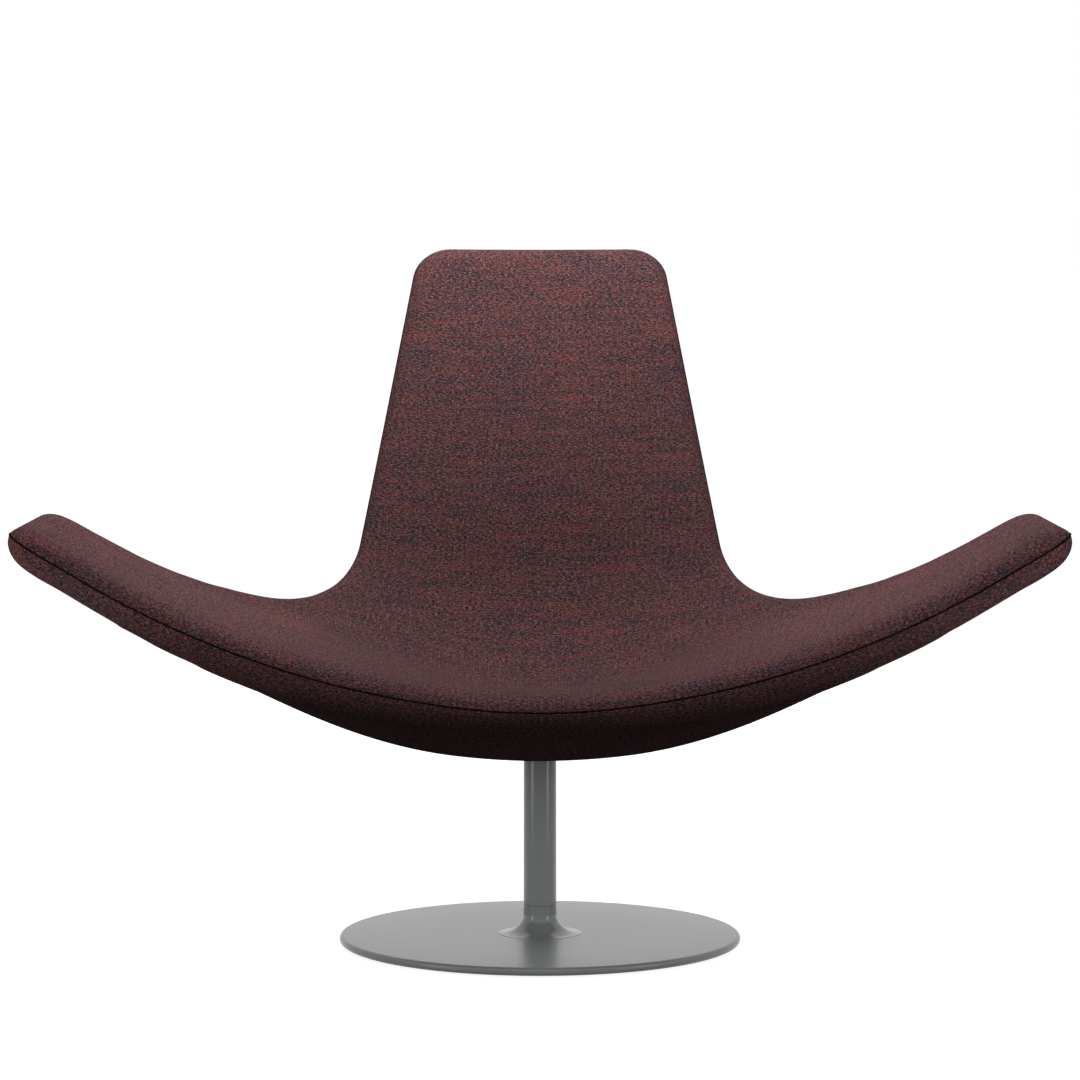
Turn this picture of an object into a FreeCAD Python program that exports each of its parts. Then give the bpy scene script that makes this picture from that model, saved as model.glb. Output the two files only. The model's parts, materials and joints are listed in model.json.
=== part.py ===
import FreeCAD, Part
import math
import os

Vector = FreeCAD.Vector
Vector2d = FreeCAD.Base.Vector2d
Z_AXIS = Vector(0, 0, 1)

# Frame: origin on the floor under the column, +Z up, the sitter faces -Y. Millimetres and degrees.

# Side profile of the shell at its middle, measured along the surface from the front seam
SEAT_FRONT_Y = -340.0
SEAT_FRONT_Z = 350.9
SEAT_RISE = 1.0
SEAT_RUN = 340.0
BEND_RADIUS = 270.0
BACK_LEAN = 24.0

# Front view of the shell: a tight arc in the middle, a wider arc each side, then straight wing tips
DIP_RADIUS = 840.0
DIP_ANGLE = 6.5
WING_RADIUS = 1246.0
WING_ANGLE = 30.2
BACK_HOLLOW_RADIUS = 1500.0
HOLLOW_FADE_START = 420.0
HOLLOW_FADE_END = 860.0

# Flat outline of the shell, half of it: across from the middle, and along from the front seam
FRONT_BOW_RADIUS = 14000.0
TIP_FRONT_ACROSS = 682.0
TIP_FRONT_ALONG = 26.0
TIP_FRONT_ROUND = 46.0
TIP_REAR_ACROSS = 677.0
TIP_REAR_ALONG = 352.0
TIP_REAR_ROUND = 58.0
ARMPIT_ACROSS = 274.0
ARMPIT_ALONG = 520.0
ARMPIT_ROUND = 225.0
TOP_ACROSS = 175.5
TOP_ALONG = 1101.0
TOP_ROUND = 54.0
TOP_CROWN = 4.0
TOP_CROWN_RADIUS = 4000.0

# Padding above and below the seam, with the rounding of the edge
FRONT_PAD = 21.0
FRONT_ROUND = 26.0
REAR_PAD = 30.5
REAR_ROUND = 38.0
SEAT_HOLLOW = 44.0
SEAT_HOLLOW_ALONG = 430.0
SEAT_HOLLOW_LENGTH = 210.0
SEAT_HOLLOW_ACROSS = 340.0
BELLY = 68.0
BELLY_ALONG = 300.0
BELLY_LENGTH = 220.0
BELLY_FLAT = 105.0
BELLY_ACROSS = 638.0
EDGE_THINNING = 24.0
EDGE_THINNING_ALONG = 110.0
EDGE_THINNING_ACROSS = 400.0

# Clearance of the foam round the parts moulded into it
FOAM_GAP = 0.8

# Frame of flat steel bar inside the foam
BAR_WIDTH = 25.0
BAR = 8.0
WELD_GAP = 0.2
FRONT_BAR_SETBACK = 110.0
REAR_BAR_SETBACK = 52.0
SEAT_BAR_DROP = 30.0
WING_BAR_DROP = 6.0
TIP_BAR_SETBACK = 70.0
BAR_OVERHANG = 14.0
UPRIGHT_ACROSS = 130.0
UPRIGHT_BEND = 250.0
BACK_BAR_DROP = 6.0
TOP_BAR_SETBACK = 71.0

# Elastic straps hooked over the bars
STRAP = 2.0
STRAP_WIDTH = 50.0
STRAP_FIT = 0.5
SEAT_STRAPS = 2
SEAT_STRAP_START = 40.0
SEAT_STRAP_SPACING = 54.0
BACK_STRAPS = 4
BACK_STRAP_START = 50.0
BACK_STRAP_SPACING = 80.0
WING_STRAPS = 2
WING_STRAP_START = 142.0
WING_STRAP_SPACING = 140.0

# Swivel plates
MOUNT_PLATE = 6.0
MOUNT_PLATE_FRONT = 105.0
MOUNT_PLATE_REAR = 62.0
MOUNT_PLATE_REAR_WIDTH = 150.0
SEAT_PLATE = 8.0
SEAT_PLATE_WIDTH = 140.0
SEAT_PLATE_DEPTH = 120.0
SEAT_PLATE_CORNER = 15.0
POCKET_GAP = 3.0
SCREW_ACROSS = 55.0
SCREW_ALONG = 45.0
SCREW = 8.0
SCREW_HOLE = 9.0
SCREW_FLATS = 13.0
SCREW_HEAD_HEIGHT = 5.3

# Pedestal
DISC = 545.0
DISC_THICKNESS = 11.0
FELT = 500.0
FELT_THICKNESS = 2.0
COLUMN = 45.0
COLUMN_WALL = 3.0
FOOT = 113.0
FOOT_LIP = 2.0
FOOT_NECK_Z = 40.0
FOOT_TOP_Z = 51.5
SPIGOT_HEIGHT = 45.0
BOLT = 12.0
BOLT_HEAD = 24.0
BOLT_HEAD_HEIGHT = 5.0
BOLT_HEAD_GAP = 0.3
BOLT_END_Z = 80.0
PRESS_FIT = 0.05

# Swivel bearing
SPINDLE = 25.0
RUNNING_FIT = 0.05
HUB_HEIGHT = 28.6
SLEEVE_LENGTH = 130.0
SLEEVE_FLANGE = 3.0
THRUST_GAP = 0.1
SPINDLE_TAIL = 20.0
SPINDLE_TAIL_LENGTH = 20.0
NUT_FLATS = 30.0
NUT_HEIGHT = 16.0

# Facets of the rounded rim and of the flared foot
RIM_FACETS = 4
FLARE_FACETS = 3

# Spacing of the surface poles over the flat pattern
POLE_SPACING = 80.0
ROUND_STRIPS = 3


def smooth(t):
    t = min(1.0, max(0.0, t))
    return t * t * (3 - 2 * t)


def bell(value, centre, length):
    return math.exp(-((value - centre) / length) ** 2)


# Shell form

RISE = math.radians(SEAT_RISE)
BACK_SLOPE = math.radians(90 - BACK_LEAN)
BEND_LENGTH = BEND_RADIUS * (BACK_SLOPE - RISE)
WING_ARCS = ((DIP_RADIUS, math.radians(DIP_ANGLE)), (WING_RADIUS, math.radians(WING_ANGLE)))


def spine(along):
    """Side profile: y, z and slope at a distance along it from the front seam."""
    slope = RISE + min(max((along - SEAT_RUN) / BEND_RADIUS, 0.0), BACK_SLOPE - RISE)
    run = min(along, SEAT_RUN)
    back = max(along - SEAT_RUN - BEND_LENGTH, 0.0)
    y = run * math.cos(RISE) + BEND_RADIUS * (math.sin(slope) - math.sin(RISE)) + back * math.cos(BACK_SLOPE)
    z = run * math.sin(RISE) + BEND_RADIUS * (math.cos(RISE) - math.cos(slope)) + back * math.sin(BACK_SLOPE)
    return SEAT_FRONT_Y + y, SEAT_FRONT_Z + z, slope


def wing_rise(across):
    """Height of the front view's curve above its middle."""
    x, z, angle = 0.0, 0.0, 0.0
    for radius, end in WING_ARCS:
        end_x = x + radius * (math.sin(end) - math.sin(angle))
        if abs(across) <= end_x:
            here = math.asin((abs(across) - x) / radius + math.sin(angle))
            return z + radius * (math.cos(angle) - math.cos(here))
        z += radius * (math.cos(angle) - math.cos(end))
        x, angle = end_x, end
    return z + (abs(across) - x) * math.tan(angle)


def shell_point(across, along):
    """Point of the seam surface over a point of the flat pattern."""
    y, z, slope = spine(along)
    fade = smooth((along - HOLLOW_FADE_START) / (HOLLOW_FADE_END - HOLLOW_FADE_START))
    lift = wing_rise(across) * (1 - fade) + fade * across ** 2 / (2 * BACK_HOLLOW_RADIUS)
    return Vector(across, y - math.sin(slope) * lift, z + math.cos(slope) * lift)


def padded_point(across, along, height):
    """Point at a height square to the seam surface."""
    step = 1.0
    along_x = shell_point(across + step, along) - shell_point(across - step, along)
    along_s = shell_point(across, along + step) - shell_point(across, along - step)
    normal = along_x.cross(along_s)
    normal.normalize()
    return shell_point(across, along) + normal * height


def front_height(across, along):
    middle = 1 - smooth(abs(across) / SEAT_HOLLOW_ACROSS)
    return FRONT_PAD - SEAT_HOLLOW * middle * bell(along, SEAT_HOLLOW_ALONG, SEAT_HOLLOW_LENGTH)


def rear_height(across, along):
    middle = 1 - smooth((abs(across) - BELLY_FLAT) / (BELLY_ACROSS - BELLY_FLAT))
    belly = BELLY * middle * bell(along, BELLY_ALONG, BELLY_LENGTH)
    edge = 1 - smooth(abs(across) / EDGE_THINNING_ACROSS)
    return REAR_PAD + belly - EDGE_THINNING * edge * bell(along, 0.0, EDGE_THINNING_ALONG)


def form_surface(height):
    """Cubic surface at height(across, along) whose two parameters are across and along."""
    cells_across = math.ceil(TIP_FRONT_ACROSS / POLE_SPACING) + 1
    cells_along = math.ceil((TOP_ALONG + TOP_CROWN) / POLE_SPACING) + 1
    columns = [i * POLE_SPACING for i in range(-cells_across - 1, cells_across + 2)]
    rows = [i * POLE_SPACING for i in range(-2, cells_along + 2)]

    def point(across, along):
        return padded_point(across, along, height(across, along))

    def pole(across, along):
        here = point(across, along)
        ring = point(across + POLE_SPACING, along) + point(across - POLE_SPACING, along)
        ring += point(across, along + POLE_SPACING) + point(across, along - POLE_SPACING)
        return here - (ring - here * 4) / 6

    def knots(values):
        return [values[0] + POLE_SPACING * (i - 2) for i in range(len(values) + 4)]

    surface = Part.BSplineSurface()
    poles = [[pole(across, along) for along in rows] for across in columns]
    u_knots, v_knots = knots(columns), knots(rows)
    surface.buildFromPolesMultsKnots(
        poles, [1] * len(u_knots), [1] * len(v_knots), u_knots, v_knots, False, False, 3, 3
    )
    return surface


# Flat outline

HALF_OUTLINE = (
    (0.0, 0.0, FRONT_BOW_RADIUS),
    (TIP_FRONT_ACROSS, TIP_FRONT_ALONG, TIP_FRONT_ROUND),
    (TIP_REAR_ACROSS, TIP_REAR_ALONG, TIP_REAR_ROUND),
    (ARMPIT_ACROSS, ARMPIT_ALONG, ARMPIT_ROUND),
    (TOP_ACROSS, TOP_ALONG, TOP_ROUND),
    (0.0, TOP_ALONG + TOP_CROWN, TOP_CROWN_RADIUS),
)


def outline_corners(inset):
    """Rounded corners of the outline moved inwards: tangent points, and the middle of each arc."""
    left_half = [(-x, s, r) for x, s, r in reversed(HALF_OUTLINE[1:-1])]
    corners = list(HALF_OUTLINE) + left_half
    points = [Vector(x, s, 0) for x, s, r in corners]
    count = len(points)
    ways = [(points[(i + 1) % count] - points[i]).normalize() for i in range(count)]
    starts = [p + Z_AXIS.cross(way) * inset for p, way in zip(points, ways)]
    rounded = []
    for i in range(count):
        before, after = ways[i - 1], ways[i]
        turn = before.cross(after).z
        corner = starts[i] - after * ((starts[i] - starts[i - 1]).cross(before).z / after.cross(before).z)
        radius = corners[i][2] - math.copysign(inset, turn)
        half = abs(math.asin(turn)) / 2
        if before.dot(after) < 0:
            half = math.pi / 2 - half
        tangent = radius * math.tan(half)
        inwards = (after - before).normalize()
        middle = corner + inwards * (radius / math.cos(half) - radius)
        rounded.append((corner - before * tangent, middle, corner + after * tangent))
    return rounded


def outline_wire(inset, surface):
    """The outline laid on a form surface."""
    corners = outline_corners(inset)
    edges = []
    for i, (start, middle, end) in enumerate(corners):
        flat = [Vector2d(p.x, p.y) for p in (start, middle, end)]
        edges.append(Part.Geom2d.ArcOfCircle2d(*flat).toShape(surface))
        following = corners[(i + 1) % len(corners)][0]
        side = Part.Geom2d.Line2dSegment(flat[2], Vector2d(following.x, following.y))
        edges.append(side.toShape(surface))
    return Part.Wire(edges)


def skin(side):
    """One side of the padding, from the seam loop over the rounded edge."""
    pad, rounding = (front_height, FRONT_ROUND) if side > 0 else (rear_height, REAR_ROUND)
    loops = []
    for step in range(ROUND_STRIPS + 1):
        angle = math.pi / 2 * step / ROUND_STRIPS

        def height(across, along):
            return side * pad(across, along) * math.sin(angle)

        loops.append(outline_wire(rounding * (1 - math.cos(angle)), form_surface(height)))
    return Part.makeLoft(loops, False, True).Faces + [Part.Face(loops[-1])]


def padding():
    shell = Part.makeShell(skin(1) + skin(-1))
    shell.sewShape()
    solid = Part.Solid(shell)
    if solid.Volume < 0:
        solid.reverse()
    return solid


# Frame bars

FRONT_BAR_Y = SEAT_FRONT_Y + FRONT_BAR_SETBACK
REAR_BAR_Y = SEAT_FRONT_Y + TIP_REAR_ALONG - REAR_BAR_SETBACK
TIP_BAR_ACROSS = TIP_FRONT_ACROSS - TIP_BAR_SETBACK
TOP_BAR_ALONG = TOP_ALONG - TOP_BAR_SETBACK
WING_SLOPE = math.radians(WING_ANGLE)
BAR_LOW_Z = SEAT_FRONT_Z - SEAT_BAR_DROP
BACK_WAY = Vector(0, math.cos(BACK_SLOPE), math.sin(BACK_SLOPE))


def bar_arc_radius():
    """Arc that sinks the bars by one drop under the seat and by another under the straight wings."""
    (dip, dip_end), (wing, wing_end) = WING_ARCS
    x = dip * math.sin(dip_end) + wing * (math.sin(wing_end) - math.sin(dip_end))
    sine, cosine = math.sin(WING_SLOPE), math.cos(WING_SLOPE)
    return (x * sine - (wing_rise(x) + SEAT_BAR_DROP) * cosine + WING_BAR_DROP) / (1 - cosine)


BAR_ARC = bar_arc_radius()


def bar_point(across, y):
    """Point of a wing bar's centre line, and the slope there."""
    slope = min(math.asin(min(across / BAR_ARC, 1.0)), WING_SLOPE)
    x = BAR_ARC * math.sin(slope)
    z = BAR_LOW_Z + BAR_ARC * (1 - math.cos(slope)) + (across - x) * math.tan(slope)
    return Vector(across, y, z), slope


def arc_edge(start, end, y):
    """Part of the wing bars' arc between two slopes."""
    points = []
    for slope in (start, (start + end) / 2, end):
        points.append(Vector(BAR_ARC * math.sin(slope), y, BAR_LOW_Z + BAR_ARC * (1 - math.cos(slope))))
    return Part.Arc(*points).toShape()


def flat_bar(edges, side, grow):
    """Flat bar along tangent lines and arcs; side is the direction of its width."""
    path = Part.Wire(Part.__sortEdges__(edges))
    first = path.OrderedEdges[0]
    point = path.OrderedVertexes[0].Point
    way = first.tangentAt(first.FirstParameter)
    across = side * (BAR_WIDTH / 2 + grow)
    up = way.cross(side).normalize() * (BAR / 2 + grow)
    corners = [point + across + up, point - across + up, point - across - up, point + across - up]
    return path.makePipeShell([Part.makePolygon(corners + corners[:1])], True, False)


def mirrored(shape):
    return shape.mirror(Vector(0, 0, 0), Vector(1, 0, 0))


def wing_straight(y, grow):
    knee, _ = bar_point(BAR_ARC * math.sin(WING_SLOPE), y)
    end, _ = bar_point(TIP_BAR_ACROSS + BAR_OVERHANG + grow, y)
    return Part.makeLine(knee, end)


def front_bar(grow):
    straight = wing_straight(FRONT_BAR_Y, grow)
    edges = [mirrored(straight), arc_edge(-WING_SLOPE, WING_SLOPE, FRONT_BAR_Y), straight]
    return flat_bar(edges, Vector(0, 1, 0), grow)


def rear_bar(grow):
    _, slope = bar_point(UPRIGHT_ACROSS + BAR_WIDTH / 2 + WELD_GAP - grow, REAR_BAR_Y)
    edges = [arc_edge(slope, WING_SLOPE, REAR_BAR_Y), wing_straight(REAR_BAR_Y, grow)]
    return flat_bar(edges, Vector(0, 1, 0), grow)


def tip_bar(grow):
    inset = BAR_WIDTH / 2 + WELD_GAP - grow
    start, slope = bar_point(TIP_BAR_ACROSS, FRONT_BAR_Y + inset)
    end = start + Vector(0, REAR_BAR_Y - FRONT_BAR_Y - 2 * inset, 0)
    return flat_bar([Part.makeLine(start, end)], Vector(math.cos(slope), 0, math.sin(slope)), grow)


UPRIGHT_Z = bar_point(UPRIGHT_ACROSS, FRONT_BAR_Y)[0].z


def back_point(across, along):
    """Point of the back bars' plane beside a distance along the shell."""
    y, z, _ = spine(along)
    return Vector(across, y + BACK_WAY.z * BACK_BAR_DROP, z - BACK_WAY.y * BACK_BAR_DROP)


def upright_bar(grow):
    """Bar from the front bar under the seat and up the back to the top bar."""
    top = back_point(UPRIGHT_ACROSS, TOP_BAR_ALONG) - BACK_WAY * (BAR_WIDTH / 2 + WELD_GAP - grow)
    knee = top - BACK_WAY * ((top.z - UPRIGHT_Z) / BACK_WAY.z)
    tangent = UPRIGHT_BEND * math.tan(BACK_SLOPE / 2)
    lower, upper = knee - Vector(0, tangent, 0), knee + BACK_WAY * tangent
    half = BACK_SLOPE / 2
    middle = lower + Vector(0, math.sin(half), 1 - math.cos(half)) * UPRIGHT_BEND
    start = Vector(UPRIGHT_ACROSS, FRONT_BAR_Y + BAR_WIDTH / 2 + WELD_GAP - grow, UPRIGHT_Z)
    edges = [Part.makeLine(start, lower), Part.Arc(lower, middle, upper).toShape(), Part.makeLine(upper, top)]
    return flat_bar(edges, Vector(1, 0, 0), grow)


def top_bar(grow):
    reach = UPRIGHT_ACROSS + BAR_WIDTH / 2 + grow
    ends = back_point(-reach, TOP_BAR_ALONG), back_point(reach, TOP_BAR_ALONG)
    return flat_bar([Part.makeLine(*ends)], BACK_WAY, grow)


# Upright blocks and cylinders

def prism(points, z, height):
    corners = [Vector(x, y, z) for x, y in points]
    return Part.Face(Part.makePolygon(corners + corners[:1])).extrude(Vector(0, 0, height))


def upright(radius, z, height, x=0.0, y=0.0):
    return Part.makeCylinder(radius, height, Vector(x, y, z))


# Straps

def strap(span, grow):
    """Band across two bars on local X, hooked under both, with its flat run on local +Y."""
    inner_x, inner_y = BAR_WIDTH / 2 + STRAP_FIT - grow, BAR / 2 + STRAP_FIT - grow
    outer_x, outer_y = inner_x + STRAP + 2 * grow, inner_y + STRAP + 2 * grow
    half_outline = [
        (outer_x, outer_y), (outer_x, -outer_y), (-grow, -outer_y), (-grow, -inner_y),
        (inner_x, -inner_y), (inner_x, inner_y),
    ]
    right = [(span + x, y) for x, y in half_outline]
    left = [(-x, y) for x, y in reversed(half_outline)]
    return prism(right + left, -STRAP_WIDTH / 2 - grow, STRAP_WIDTH + 2 * grow)


def placed(shape, origin, x_way, y_way):
    z_way = x_way.cross(y_way)
    rotation = FreeCAD.Rotation(x_way, y_way, z_way, "XYZ")
    copy = shape.copy()
    copy.Placement = FreeCAD.Placement(origin, rotation)
    return copy


def seat_straps(grow):
    band = strap(2 * UPRIGHT_ACROSS, grow)
    bands = []
    for i in range(SEAT_STRAPS):
        y = FRONT_BAR_Y + SEAT_STRAP_START + i * SEAT_STRAP_SPACING
        bands.append(placed(band, Vector(-UPRIGHT_ACROSS, y, UPRIGHT_Z), Vector(1, 0, 0), Z_AXIS))
    return bands


def back_straps(grow):
    band = strap(2 * UPRIGHT_ACROSS, grow)
    front = Vector(1, 0, 0).cross(BACK_WAY)
    bands = []
    for i in range(BACK_STRAPS):
        along = TOP_BAR_ALONG - BACK_STRAP_START - i * BACK_STRAP_SPACING
        bands.append(placed(band, back_point(-UPRIGHT_ACROSS, along), Vector(1, 0, 0), front))
    return bands


def wing_straps(grow):
    band = strap(REAR_BAR_Y - FRONT_BAR_Y, grow)
    bands = []
    for i in range(WING_STRAPS):
        across = TIP_BAR_ACROSS - WING_STRAP_START - i * WING_STRAP_SPACING
        origin, slope = bar_point(across, FRONT_BAR_Y)
        right = placed(band, origin, Vector(0, 1, 0), Vector(-math.sin(slope), 0, math.cos(slope)))
        bands += [right, mirrored(right)]
    return bands


# Swivel plates and their fasteners

MOUNT_TOP_Z = UPRIGHT_Z - BAR / 2 - WELD_GAP
MOUNT_BOTTOM_Z = MOUNT_TOP_Z - MOUNT_PLATE
SEAT_PLATE_Z = MOUNT_BOTTOM_Z - SEAT_PLATE
SCREW_PLACES = [(x, y) for x in (-SCREW_ACROSS, SCREW_ACROSS) for y in (-SCREW_ALONG, SCREW_ALONG)]


def drilled(shape, radius, z, height):
    for x, y in SCREW_PLACES:
        shape = shape.cut(upright(radius, z, height, x, y))
    return shape


def mount_outline(grow):
    wide = UPRIGHT_ACROSS + BAR_WIDTH / 2 + grow
    narrow = MOUNT_PLATE_REAR_WIDTH / 2 + grow
    front, rear = -MOUNT_PLATE_FRONT - grow, MOUNT_PLATE_REAR + grow
    return [(-wide, front), (wide, front), (wide, 0.0), (narrow, rear), (-narrow, rear), (-wide, 0.0)]


def mount_plate():
    plate = prism(mount_outline(0.0), MOUNT_BOTTOM_Z, MOUNT_PLATE)
    return drilled(plate, SCREW / 2 + PRESS_FIT, MOUNT_BOTTOM_Z, MOUNT_PLATE)


def plate_block(grow, z, height):
    width, depth = SEAT_PLATE_WIDTH + 2 * grow, SEAT_PLATE_DEPTH + 2 * grow
    block = Part.makeBox(width, depth, height, Vector(-width / 2, -depth / 2, z))
    uprights = [e for e in block.Edges if abs(e.tangentAt(e.FirstParameter).z) > 0.5]
    return block.makeFillet(SEAT_PLATE_CORNER + grow, uprights)


def seat_plate():
    plate = plate_block(0.0, SEAT_PLATE_Z, SEAT_PLATE)
    return drilled(plate, SCREW_HOLE / 2, SEAT_PLATE_Z, SEAT_PLATE)


def hexagon(flats, z, height, x, y):
    reach = flats / math.sqrt(3)
    turns = [i * math.pi / 3 for i in range(6)]
    return prism([(x + reach * math.cos(a), y + reach * math.sin(a)) for a in turns], z, height)


def plate_screws():
    screws = []
    for x, y in SCREW_PLACES:
        head = hexagon(SCREW_FLATS, SEAT_PLATE_Z - SCREW_HEAD_HEIGHT, SCREW_HEAD_HEIGHT, x, y)
        shank = upright(SCREW / 2, SEAT_PLATE_Z, SEAT_PLATE + MOUNT_PLATE, x, y)
        screws.append(head.fuse(shank).removeSplitter())
    return screws


# Pedestal

DISC_TOP_Z = FELT_THICKNESS + DISC_THICKNESS
COLUMN_BORE = COLUMN / 2 - COLUMN_WALL
BOLT_SEAT_Z = FELT_THICKNESS + BOLT_HEAD_HEIGHT
HUB_Z = SEAT_PLATE_Z - HUB_HEIGHT
COLUMN_TOP = HUB_Z - THRUST_GAP - SLEEVE_FLANGE


def turned(points):
    """Solid of revolution about the column's axis from a closed outline in X and Z."""
    corners = [Vector(x, 0, z) for x, z in points]
    return Part.Face(Part.makePolygon(corners + corners[:1])).revolve(Vector(0, 0, 0), Z_AXIS, 360)


def ring(outer, inner, z, height):
    return upright(outer, z, height).cut(upright(inner, z, height))


def base_disc():
    """Steel plate with a full-round rim, bored from below for the bolt and its head."""
    rim = DISC_THICKNESS / 2
    points = [(0, DISC_TOP_Z), (0, FELT_THICKNESS)]
    for step in range(RIM_FACETS + 1):
        angle = math.pi * step / RIM_FACETS
        points.append((DISC / 2 - rim + rim * math.sin(angle), FELT_THICKNESS + rim - rim * math.cos(angle)))
    disc = turned(points).cut(upright(BOLT / 2 + BOLT_HEAD_GAP, FELT_THICKNESS, DISC_THICKNESS))
    return disc.cut(upright(BOLT_HEAD / 2 + BOLT_HEAD_GAP, FELT_THICKNESS, BOLT_HEAD_HEIGHT))


def base_felt():
    return upright(FELT / 2, 0.0, FELT_THICKNESS)


def column_foot():
    """Trumpet-shaped foot with a spigot for the tube and a threaded hole for the bolt."""
    neck, lip, spigot = COLUMN / 2, FOOT / 2, COLUMN_BORE - PRESS_FIT
    lip_z, spigot_z = DISC_TOP_Z + FOOT_LIP, FOOT_TOP_Z + SPIGOT_HEIGHT
    points = [(0, spigot_z), (0, DISC_TOP_Z), (lip, DISC_TOP_Z)]
    for step in range(FLARE_FACETS + 1):
        angle = math.pi / 2 * step / FLARE_FACETS
        drop = (FOOT_NECK_Z - lip_z) * (1 - math.cos(angle))
        points.append((lip - (lip - neck) * math.sin(angle), lip_z + drop))
    points += [(neck, FOOT_TOP_Z), (spigot, FOOT_TOP_Z), (spigot, spigot_z)]
    return turned(points).cut(upright(BOLT / 2 + PRESS_FIT, DISC_TOP_Z, BOLT_END_Z - DISC_TOP_Z))


def column_bolt():
    head = upright(BOLT_HEAD / 2, FELT_THICKNESS, BOLT_HEAD_HEIGHT)
    return head.fuse(upright(BOLT / 2, BOLT_SEAT_Z, BOLT_END_Z - BOLT_SEAT_Z)).removeSplitter()


def column_tube():
    return ring(COLUMN / 2, COLUMN_BORE, FOOT_TOP_Z, COLUMN_TOP - FOOT_TOP_Z)


# Swivel bearing

SLEEVE_Z = COLUMN_TOP - SLEEVE_LENGTH
NUT_TOP_Z = SLEEVE_Z - THRUST_GAP
SPINDLE_END_Z = NUT_TOP_Z - SPINDLE_TAIL_LENGTH


def bearing_sleeve():
    bore = SPINDLE / 2 + RUNNING_FIT
    body = upright(COLUMN_BORE - PRESS_FIT, SLEEVE_Z, COLUMN_TOP - SLEEVE_Z)
    sleeve = body.fuse(upright(COLUMN / 2, COLUMN_TOP, SLEEVE_FLANGE)).removeSplitter()
    return sleeve.cut(upright(bore, SLEEVE_Z, COLUMN_TOP + SLEEVE_FLANGE - SLEEVE_Z))


def spindle():
    """Pivot pin with a threaded tail, and the hub that carries the seat plate."""
    tail = upright(SPINDLE_TAIL / 2, SPINDLE_END_Z, NUT_TOP_Z - SPINDLE_END_Z)
    pin = upright(SPINDLE / 2, NUT_TOP_Z, HUB_Z - NUT_TOP_Z)
    hub = upright(COLUMN / 2, HUB_Z, SEAT_PLATE_Z - HUB_Z)
    return tail.fuse([pin, hub]).removeSplitter()


def spindle_nut():
    nut = hexagon(NUT_FLATS, NUT_TOP_Z - NUT_HEIGHT, NUT_HEIGHT, 0.0, 0.0)
    return nut.cut(upright(SPINDLE_TAIL / 2 + PRESS_FIT, NUT_TOP_Z - NUT_HEIGHT, NUT_HEIGHT))


# Upholstery

def pocket():
    """Opening in the underside for the seat plate."""
    return plate_block(POCKET_GAP, 0.0, MOUNT_BOTTOM_Z)


def shell_pad():
    """Moulded foam with its cover, round the frame, the straps and the mount plate."""
    halves = [rear_bar(FOAM_GAP), tip_bar(FOAM_GAP), upright_bar(FOAM_GAP)]
    hollows = halves + [mirrored(half) for half in halves] + [front_bar(FOAM_GAP), top_bar(FOAM_GAP)]
    hollows += seat_straps(FOAM_GAP) + back_straps(FOAM_GAP) + wing_straps(FOAM_GAP)
    thickness = MOUNT_PLATE + 2 * FOAM_GAP
    hollows.append(prism(mount_outline(FOAM_GAP), MOUNT_BOTTOM_Z - FOAM_GAP, thickness))
    return padding().cut(hollows + [pocket()])


rear_right, tip_right, upright_right = rear_bar(0.0), tip_bar(0.0), upright_bar(0.0)
nodes = {
    "base_disc": [base_disc()],
    "base_felt": [base_felt()],
    "column_foot": [column_foot()],
    "column_bolt": [column_bolt()],
    "column_tube": [column_tube()],
    "bearing_sleeve": [bearing_sleeve()],
    "spindle": [spindle()],
    "spindle_nut": [spindle_nut()],
    "seat_plate": [seat_plate()],
    "plate_screws": plate_screws(),
    "mount_plate": [mount_plate()],
    "front_bar": [front_bar(0.0)],
    "rear_bar_left": [mirrored(rear_right)],
    "rear_bar_right": [rear_right],
    "tip_bar_left": [mirrored(tip_right)],
    "tip_bar_right": [tip_right],
    "upright_bar_left": [mirrored(upright_right)],
    "upright_bar_right": [upright_right],
    "top_bar": [top_bar(0.0)],
    "seat_straps": seat_straps(0.0),
    "back_straps": back_straps(0.0),
    "wing_straps": wing_straps(0.0),
    "shell_pad": [shell_pad()],
}

os.makedirs("parts", exist_ok=True)
for name, solids in nodes.items():
    shape = solids[0] if len(solids) == 1 else Part.makeCompound(solids)
    print(name, len(shape.Solids), shape.isValid(), round(shape.Volume))
    shape.exportStep(f"parts/{name}.step")
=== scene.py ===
import json
import math

import bmesh
import bpy
import numpy as np
from bpy.props import FloatProperty, FloatVectorProperty, IntProperty, PointerProperty
from mathutils import Matrix, Vector


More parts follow.
